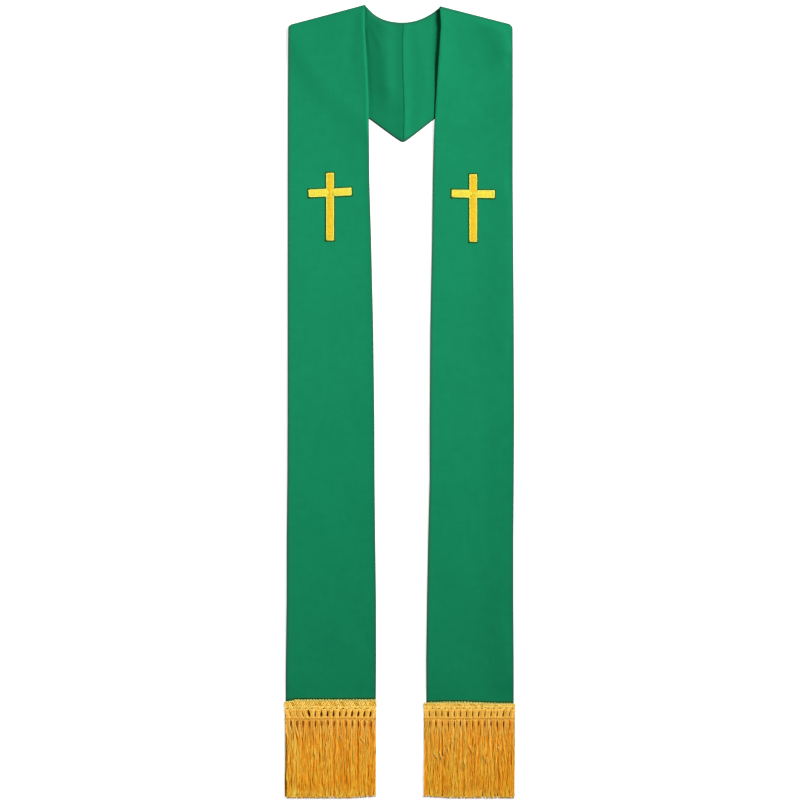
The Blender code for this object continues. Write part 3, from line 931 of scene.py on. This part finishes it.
def thread_piece(side, name, seed, materials, node, makers):
    """A piece of many threads, which these functions add in turn."""
    chance = random.Random(SEED + seed + side.sign)
    threads = Threads()
    for make in makers:
        make(threads, side, chance)
    piece = mesh_object(f"{name}_{side.name}", threads.verts, threads.faces)
    for material in materials:
        piece.data.materials.append(material)
    piece.data.polygons.foreach_set("material_index", threads.slots)
    return dress(side, piece, node)


def add_band(side, material):
    rings, fold_painted_shades = band_rings(side)
    band = lofted(f"cloth_{side.name}", rings, side.inner_rim, side.outer_rim, fold_painted_shades)
    band.data.materials.append(material)
    return dress(side, band, "band")


def add_lining(side, material):
    lining = lofted(f"facing_{side.name}", lining_rings(side), side.outer_rim, LIT_EDGE_PAINTED_SHADE)
    lining.data.materials.append(material)
    return dress(side, lining, "lining")


def cross_axes(side):
    """The middle of a cross, and the ways along and across its arms, which aren't quite level."""
    along = Vector((math.cos(side.arm_tilt), math.sin(side.arm_tilt)))
    centre = Vector((side.cross_x, side.cross_top - CROSS_ARM_DROP))
    return centre, along, Vector((-along.y, along.x))


def cross_outline(side, grow):
    """The twelve corners of a cross, moved out by grow."""
    half_bar = CROSS_BAR / 2 + grow
    half_span = CROSS_SPAN / 2 + grow
    top, bottom = side.cross_top + grow, side.cross_top - CROSS_HEIGHT - grow
    centre, along, across = cross_axes(side)

    def end(way, y):
        return Vector((side.cross_x + way * half_bar, y))

    def inside(way, above):
        x = way * half_bar
        return centre + Vector((x, (above * half_bar + along.y * x) / along.x))

    def tip(way, above):
        return centre + along * (way * half_span) + across * (above * half_bar)

    right = [end(1, top), inside(1, 1), tip(1, 1), tip(1, -1), inside(1, -1), end(1, bottom)]
    left = [end(-1, bottom), inside(-1, -1), tip(-1, -1), tip(-1, 1), inside(-1, 1)]
    return [end(-1, top)] + right + left


def couched_line(threads, side, grow, radius, height, slot):
    """A cord laid along the outline of a cross."""
    corners = cross_outline(side, grow)
    for start, end in zip(corners, corners[1:] + corners[:1]):

        def place(share):
            x, y = start.lerp(end, share)
            return x, y, front_top(side, x, y) + height

        threads.cord(max(2, round((end - start).length / (3 * MM))), place, radius, 6, slot)


def stitch(threads, side, start, end, slot):
    """One satin stitch, arched over the padding between two points in plan."""
    points = []
    for share in STITCH_SHARES:
        x, y = start.lerp(end, share)
        arch = STITCH_PAD * math.sin(math.pi * share) ** 0.45 if 0 < share < 1 else 0.0
        points.append(Vector((x, y, front_top(side, x, y) + LAYER_GAP / 2 + arch)))
    threads.tube(points, STITCH_RADIUS, 4, slot, 0.8)


def add_cross(threads, side, chance):
    """Satin stitches across the upright and then across the arms, with two cords round them."""
    half_bar = CROSS_BAR / 2
    centre, along, across = cross_axes(side)
    for row in range(int(CROSS_HEIGHT / STITCH_PITCH)):
        middle = Vector((centre.x, side.cross_top - (row + 0.5) * STITCH_PITCH))
        away = abs(middle.y - centre.y) / half_bar
        share = 1 if away > 1 else max(SHORTEST_STITCH, away)
        slant = chance.uniform(-STITCH_JITTER, STITCH_JITTER)
        reach = Vector((half_bar, -slant)) * share
        stitch(threads, side, middle - reach, middle + reach, 0)
    for way in (-1, 1):
        for column in range(FIRST_ARM_STITCH, int(CROSS_SPAN / 2 / STITCH_PITCH)):
            distance = (column + 0.5) * STITCH_PITCH
            jitter = chance.uniform(-STITCH_JITTER, STITCH_JITTER)
            middle = centre + along * (way * distance + jitter)
            reach = across * min(half_bar, distance)
            stitch(threads, side, middle - reach, middle + reach, 1)
    # painted highlight: the border cord's lighter yellow-green stands for light caught along the stitched
    # edge
    couched_line(threads, side, -0.7 * MM, BORDER_RADIUS, 0.55 * MM, 2)
    # painted shadow: the dark green outline cord stands for the shadow round the raised stitches
    couched_line(threads, side, 1.05 * MM, OUTLINE_RADIUS, -0.35 * MM, 3)


def bunch_pitch(side):
    return (side.high_x - side.low_x) / BUNCHES


def bunch_centre(side, bunch):
    return side.low_x + (bunch + 0.5) * bunch_pitch(side)


def heading_x(side, share):
    """From the left end of the heading (0) to the right one (1)."""
    return blend(side.low_x + HEADING_INSET, side.high_x - HEADING_INSET, share)


def heading_length(side):
    return heading_x(side, 1) - heading_x(side, 0)


def on_heading(side, x):
    return min(heading_x(side, 1), max(heading_x(side, 0), x))


def heading_edge_y(side, x):
    """The top edge of the heading, which isn't quite straight."""
    share = (x - side.low_x) / (side.high_x - side.low_x)
    if side is LEFT:
        return side.heading_y - 2.2 * MM * (1 - smooth(share / 0.14))
    return side.heading_y + (1.4 * math.sin(math.pi * min(1.0, share * 1.3)) - 1.2 * share) * MM


def add_wraps(threads, side, chance):
    """The slanting cords that fill the heading above its row of eyes."""
    for wrap in WRAPS:
        for k in range(int((heading_length(side) / MM + abs(wrap.run)) / wrap.pitch)):
            ahead = (k * wrap.pitch - max(wrap.run, 0) + chance.uniform(-0.3, 0.3)) * MM
            start_x = heading_x(side, 0) + ahead

            def place(down):
                x = on_heading(side, start_x + wrap.run * down * MM)
                y = blend(heading_edge_y(side, x) - 0.8 * MM, HOLE_Y + 2.2 * MM, down)
                return x, y, HEADING_TOP + (0.35 * math.sin(math.pi * down) - 1.35 - wrap.drop) * MM

            radius = wrap.radius * MM * side.wrap_fullness * chance.uniform(0.85, 1.1)
            threads.cord(7, place, radius)


def add_picots(threads, side, chance):
    """The row of small pale loops along the top edge, and the cord that they spring from."""
    loops = round(heading_length(side) / PICOT_PITCH)
    for loop in range(loops):
        half = chance.uniform(1.35, 1.75) * MM
        reach = chance.uniform(1.3, 2.0) * MM
        if side is LEFT and loop < 3:
            reach = 0.3 * MM

        def place(share):
            turn = math.pi * share
            x = heading_x(side, (loop + 0.5) / loops) - half * math.cos(turn)
            y = heading_edge_y(side, x) - 1.0 * MM + reach * math.sin(turn)
            return x, y, HEADING_TOP + (0.4 * math.sin(turn) - 1.0) * MM

        threads.cord(8, place, 0.6 * MM, 5, 1)

    def base(share):
        x = heading_x(side, share)
        return x, heading_edge_y(side, x) - 1.5 * MM, HEADING_TOP - 0.7 * MM

    threads.cord(60, base, 0.7 * MM, 5, 1)


def add_eyes(threads, side, chance):
    """Cords that part round an eye above each bunch, between two cords that run straight."""
    for way in (-1, 1):
        for cord in EYE_CORDS:

            def place(share):
                x = heading_x(side, share)
                turn = math.pi * (x - side.low_x) / bunch_pitch(side)
                swing = cord.swing * abs(math.sin(turn)) ** 5
                stray = drift(x * 150, way * 3.0, cord.offset * 9) * 0.9
                y = HOLE_Y + way * (cord.offset + swing + stray) * MM
                return x, y, HEADING_TOP + (0.3 * math.cos(turn * 2) * way - 1.0) * MM

            threads.cord(BUNCHES * EYE_STEPS, place, cord.radius * MM * chance.uniform(0.95, 1.05))


def slit_openness(side, slit, chance):
    """How far the necks part: the left end of the left fringe is pulled aslant and closed."""
    if slit in (0, BUNCHES):
        return 1.0
    if side is LEFT and slit < 4:
        return 0.35
    return side.parting * chance.uniform(0.6, 1.25)


def slit_lean(side, share):
    """How far the necks lean, as a run over their height."""
    if side is LEFT and share < 0.28:
        return 0.36
    return math.tan(SLIT_LEAN) * (0.35 - 1.1 * share)


def add_necks(threads, side, chance):
    """The bunches of thread, each drawn together below its eye."""
    top_y, end_y = HOLE_Y - 2.2 * MM, CHAIN_TOP_Y - 2.2 * MM
    openness = [slit_openness(side, slit, chance) for slit in range(BUNCHES + 1)]
    for bunch in range(BUNCHES):
        lean = slit_lean(side, (bunch + 0.5) / BUNCHES) * (top_y - end_y)
        for k in range(NECK_THREADS):
            across = (k + 0.5) / NECK_THREADS * 2 - 1
            opened = openness[bunch if across < 0 else bunch + 1]

            def place(down):
                gather = math.sin(math.pi * min(1.0, max(0.0, down * 1.1 - 0.1))) ** 0.7
                aside = across * bunch_pitch(side) / 2 * (1 - 0.35 * opened * gather)
                x = bunch_centre(side, bunch) + aside + lean * (down - 0.5)
                height = blend(HEADING_TOP - 1.2 * MM, 2.1 * MM, smooth(down * 1.4 - 0.2))
                dome = 0.6 * MM * (1 - across * across)
                return on_heading(side, x), blend(top_y, end_y, down), height + dome

            threads.cord(8, place, NECK_THREAD * chance.uniform(0.85, 1.1), 5, 4)


def add_chain(threads, side, chance):
    """The braided rows that hold the bunches, each of two cords wound together."""
    for row in CHAIN_ROWS:
        start = chance.uniform(0, math.pi)
        for phase in (0, math.pi):

            def place(share):
                x = heading_x(side, share)
                turn = 2 * math.pi * (x - heading_x(side, 0)) / CHAIN_WAVE + phase + start
                y = (row.y + drift(x * 50, row.y * MM * 60, 1.7) * 0.7) * MM
                return x, y + CHAIN_SWING * math.sin(turn), (2.3 + 0.4 * math.cos(turn)) * MM

            steps = round(heading_length(side) / CHAIN_WAVE * 8)
            threads.cord(steps, place, row.radius * MM, 5, 3)


def add_sewing(threads, side, chance):
    """Small running stitches that hold the heading on the cloth, in a dark green that paints the shadow
    above the heading.
    """
    ends = sorted(edge_x(side, edge, HEM_Y) for edge in ("inner", "outer"))
    low_x, high_x = ends[0] + 1.0 * MM, ends[1] - 1.0 * MM
    count = round((high_x - low_x) / SEWING_PITCH)
    for k in range(count):

        def place(share):
            x = blend(low_x, high_x, (k + blend(0.06, 0.94, share)) / count)
            y = heading_edge_y(side, x) + (2.8 + chance.uniform(-0.1, 0.1)) * MM
            return x, y, front_top(side, x, y) + 0.3 * MM * math.sin(math.pi * share)

        threads.cord(4, place, 0.85 * MM, 6, 2)


def add_painted_shade_tape(side, material):
    """The tape that the heading is worked on: its dark brown is painted shade, seen through its eyes and
    slits.
    """
    rings = []
    for k in range(TAPE_STEPS + 1):
        x = blend(side.low_x + 0.9 * MM, side.high_x - 0.9 * MM, k / TAPE_STEPS)
        top = heading_edge_y(side, x) - 1.2 * MM
        profile = (
            (top, HEADING_UNDER),
            (top, HEADING_TOP - 1.8 * MM),
            (GIMP_END_Y, HEADING_TOP - 1.8 * MM),
            (GIMP_END_Y - 2.5 * MM, 1.0 * MM),
            (CHAIN_TOP_Y, 0.9 * MM),
            (CHAIN_Y - 16 * MM, 0.5 * MM),
            (CHAIN_Y - 16 * MM, FLOOR_CLEARANCE),
            (HEM_Y - 1.5 * MM, FLOOR_CLEARANCE),
            (HEM_Y - 1.5 * MM, HEADING_UNDER),
        )
        rings.append([(x, y, z) for y, z in profile])
    verts, faces = bridge(rings)
    size = len(rings[0])
    faces += [tuple(range(size)), tuple(range(len(verts) - 1, len(verts) - 1 - size, -1))]
    shade_tape_piece = mesh_object(f"tape_{side.name}", verts, faces)
    shade_tape_piece.data.materials.append(material)
    return dress(side, shade_tape_piece, "fringe")


def new_bunches(side, chance):
    """The bunches of one fringe, with the gaps that open between them below the chain."""
    gaps = []
    for _ in range(BUNCHES + 1):
        reach = chance.uniform(3, 9) * MM
        if chance.random() < 0.2 * side.untidiness:
            reach = chance.uniform(12, 24) * MM
        gaps.append(Gap(0.33 * side.parting * chance.uniform(0.6, 1.3), reach))
    bunches = []
    for k in range(BUNCHES):
        lean = chance.gauss(0, 0.8) * MM * side.untidiness
        if side is LEFT and k < 4:
            lean = (4 - k) * 0.9 * MM
        bunches.append(Bunch(bunch_centre(side, k), lean, gaps[k], gaps[k + 1]))
    return bunches


def new_lock(side, bunch, chance):
    """A few threads that hang together: they start in a bunch and wander as one."""
    stray = chance.gauss(0, 0.7) * MM * side.untidiness
    if chance.random() < 0.15 * side.untidiness:
        stray = chance.gauss(0, 3.0) * MM
    return Lock(bunch, chance.uniform(0, NOISE_SPAN), stray, chance.uniform(14, 44) * MM)


def top_pinch(gap, down):
    """How far a bunch is drawn in beside a gap, most just below the chain."""
    return gap.depth * fall(down - PINCH_DOWN, gap.reach if down > PINCH_DOWN else PINCH_REACH)


def keep_inside(side, x):
    """Turns a thread back softly where it would leave the side of the fringe."""
    middle = (side.low_x + side.high_x) / 2
    soft = (side.high_x - side.low_x) / 2 - STRAND_RADIUS - SIDE_SOFTNESS
    reach = abs(x - middle)
    if reach > soft:
        reach = soft + SIDE_SOFTNESS * (1 - math.exp((soft - reach) / SIDE_SOFTNESS))
    return middle + math.copysign(reach, x - middle)


def lock_x(side, lock, across, down, length):
    """Where a thread of a lock lies, this far below the chain."""
    below = max(0.0, down)
    gap = lock.bunch.gap_before if across < 0 else lock.bunch.gap_after
    pinch = 1 - top_pinch(gap, down) - 0.10 * (1 - smooth(below / lock.closing))
    x = lock.bunch.centre + across * bunch_pitch(side) / 2 * pinch
    bend = drift(lock.wave_seed, down * 30, 0.5) * 2.6 + drift(lock.wave_seed, down * 95, 7.5) * 1.9
    x += bend * MM * smooth(below / (26 * MM)) * side.untidiness + lock.drift * below / length
    return keep_inside(side, x + lock.bunch.lean * smooth(below / (32 * MM)))


def hang_length(side, x):
    """From the chain to the ends of the threads, which are cut a little shorter on the inside."""
    inner_x = side.high_x if side is LEFT else side.low_x
    shorter = INNER_SHORTER * (1 - smooth(abs(x - inner_x) / INNER_SHORTER_REACH))
    return CHAIN_Y - FRINGE_END_Y - shorter


def thread_path(side, lock, across, height, chance):
    length = hang_length(side, lock.bunch.centre) - chance.random() ** 2 * END_RAGGEDNESS
    own = chance.gauss(0, 0.25) * MM
    own_seed = chance.uniform(0, NOISE_SPAN)
    tip = chance.gauss(0, 0.5) * MM
    tip_rise = chance.uniform(0.3, 1.5) * MM
    points = []
    for k in range(STRAND_STEPS + 1):
        down = blend(-STRAND_START, length, k / STRAND_STEPS)
        share = max(0.0, down / length)
        at_tip = smooth((share - 0.9) / 0.1)
        x = lock_x(side, lock, across, down, length) + own * share + tip * at_tip
        x += drift(own_seed, down * 105, 2.5) * 0.7 * MM * smooth(share * 4)
        z = height * blend(1.0, 0.86, smooth(share * 1.3)) + tip_rise * at_tip
        z += drift(lock.wave_seed, down * 62, 9.5) * LOCK_DIVE * smooth(share * 6)
        points.append(Vector((x, CHAIN_Y - down, max(z, STRAND_RADIUS + 0.15 * MM))))
    return points


def under_path(side, bunch, across, height, chance):
    """A thread of the lower layers, which lie straighter and leave no gaps."""
    length = hang_length(side, bunch_centre(side, bunch)) - UNDER_SHORTER
    seed = chance.uniform(0, NOISE_SPAN)
    points = []
    for k in range(UNDER_STEPS + 1):
        down = blend(-STRAND_START, length, k / UNDER_STEPS)
        aside = across * bunch_pitch(side) / 2 * (1 - top_pinch(UNDER_GAP, down))
        x = bunch_centre(side, bunch) + aside
        x += drift(x * 30, down * 20, height * 500) * 1.6 * MM
        x += drift(seed, down * 40, 3.5) * 0.2 * MM
        points.append(Vector((keep_inside(side, x), CHAIN_Y - down, height)))
    return points


def add_wisp(threads, side, chance):
    """A short end of thread that has come loose and lies curved on the others."""
    x = blend(side.low_x, side.high_x, chance.uniform(0.06, 0.94))
    down = chance.uniform(16, 62) * MM
    length = chance.uniform(5, 13) * MM
    lean = chance.gauss(0, 0.3)
    bend = chance.gauss(0, 1.6) * MM

    def place(share):
        arch = math.sin(math.pi * share)
        y = CHAIN_Y - down - length * share
        aside = keep_inside(side, x + lean * length * share + bend * arch)
        return aside, y, LOOSE_HEIGHT + (0.5 + 0.9 * arch) * MM

    # the wisp's pale colour is a painted highlight
    threads.cord(6, place, STRAND_RADIUS * 1.6, 4, 4)


def add_strands(threads, side, chance):
    """Straight layers below, locks of thread over them, and a few loose threads on top."""
    for height in UNDER_LAYERS:
        for bunch in range(BUNCHES):
            for k in range(UNDER_THREADS):
                across = (k + 0.5 + chance.uniform(-0.15, 0.15)) / UNDER_THREADS * 2 - 1
                path = under_path(side, bunch, across, height, chance)
                threads.tube(path, UNDER_RADIUS, 4, 0, 0.7)
    bunches = new_bunches(side, chance)
    for height in LOCK_LAYERS:
        for bunch in bunches:
            for k in range(LOCKS):
                middle = (k + 0.5) / LOCKS * 2 - 1
                lock = new_lock(side, bunch, chance)
                lock_height = height + chance.uniform(-0.45, 0.45) * MM
                tone = 2 if chance.random() < 0.25 else 1
                for j in range(LOCK_THREADS):
                    offset = (j + 0.5) / LOCK_THREADS * 2 - 1
                    across = middle + offset * 0.88 / LOCKS
                    top = lock_height + 0.35 * MM * (1 - offset * offset)
                    path = thread_path(side, lock, across, top, chance)
                    threads.tube(path, STRAND_RADIUS * chance.uniform(0.8, 1.15), 3, tone, 0.75)
    for _ in range(round(LOOSE_THREADS * side.untidiness**2)):
        lock = new_lock(side, chance.choice(bunches), chance)._replace(drift=chance.gauss(0, 5.5) * MM)
        path = thread_path(side, lock, chance.uniform(-0.9, 0.9), LOOSE_HEIGHT, chance)
        threads.tube(path, STRAND_RADIUS * 0.9, 4, 3)
    for _ in range(round(WISPS * side.untidiness**2)):
        add_wisp(threads, side, chance)


# Stage


def add_floor():
    """A pale lit table: it glows a little, so that the shadows on it stay faint."""
    half, depth = 40.0, 0.2 * MM
    verts = [(x * half, y * half, -depth) for x, y in ((-1, -1), (1, -1), (1, 1), (-1, 1))]
    floor = mesh_object("floor", verts, [(0, 1, 2, 3)], repair=False)
    material, nodes, shader = new_material("pale floor", (0.45, 0.45, 0.45), 0.9, 0.0)
    nodes.feed(shader, {"Emission Color": (1, 1, 1, 1), "Emission Strength": 0.75})
    floor.data.materials.append(material)
    floor.visible_diffuse = False
    floor.visible_glossy = False


def add_lights():
    """A soft box high on the right, and a dim room that gives no light from below."""
    world = bpy.data.worlds.new("studio")
    bpy.context.scene.world = world
    nodes = Nodes(world)
    direction = nodes.add("TexCoord", "Generated", {})
    height = nodes.add("SeparateXYZ", "Z", {"Vector": direction})
    room = nodes.ramp(height, ((0.0, (0, 0, 0)), (0.02, (1, 1, 1))))
    nodes.feed(nodes.tree.nodes["Background"], {"Color": room, "Strength": 0.2})
    light = bpy.data.lights.new("soft box", "AREA")
    light.energy = 36
    light.size = 0.7
    light.spread = math.radians(70)
    box = new_object("soft box", light)
    box.location = (1.9, 1.4, 2.6)
    aim = Vector((-0.6, 0.1, 0)) - Vector(box.location)
    box.rotation_euler = aim.to_track_quat("-Z", "Y").to_euler()


def add_camera():
    """Straight above, so that the photograph's frame spans 1.28 m of the table."""
    frame_width = 1.28
    data = bpy.data.cameras.new("camera")
    data.lens = 100
    data.sensor_width = 36
    camera = new_object("camera", data)
    camera.location = (0, 3.2 * MM, frame_width * data.lens / data.sensor_width)
    bpy.context.scene.camera = camera
    bpy.context.scene.view_settings.view_transform = "Standard"


def main():
    green = cloth_material("green satin", (0.0046, 0.148, 0.0635), (0.0056, 0.168, 0.0725), 0.5 * MM)
    # The left facing's darker green is painted shade: the two mirrored halves of one satin catch the
    # light differently
    shaded_left_lining_green = (0.0040, 0.124, 0.053), (0.0048, 0.139, 0.060)
    right_green = (0.0046, 0.146, 0.0625), (0.0056, 0.166, 0.072)
    linings = {
        "left": cloth_material("green lining left painted shade", *shaded_left_lining_green, 0.35 * MM),
        "right": cloth_material("green lining right", *right_green, 0.35 * MM),
    }
    embroidery = [thread_material(thread, 0.6 * MM) for thread in EMBROIDERY_THREADS]
    trim = [thread_material(thread, 1.0 * MM) for thread in TRIM_THREADS]
    hanging = [thread_material(thread, 1.2 * MM) for thread in HANGING_THREADS]
    # the tape's dark brown is painted shade, seen through the heading's eyes and slits
    tape = painted_shade_backing("fringe tape painted shade", (0.10, 0.025, 0.003), (0.16, 0.045, 0.005))
    heading_parts = [add_wraps, add_picots, add_eyes, add_necks, add_chain, add_sewing]
    for side in (LEFT, RIGHT):
        band = add_band(side, green)
        lining = add_lining(side, linings[side.name])
        pieces = [
            thread_piece(side, "embroidery", 0, embroidery, "cross", [add_cross]),
            thread_piece(side, "heading", 10, trim, "fringe", heading_parts),
            add_painted_shade_tape(side, tape),
            thread_piece(side, "strands", 20, hanging, "fringe", [add_strands]),
        ]
    add_floor()
    add_lights()
    add_camera()


main()
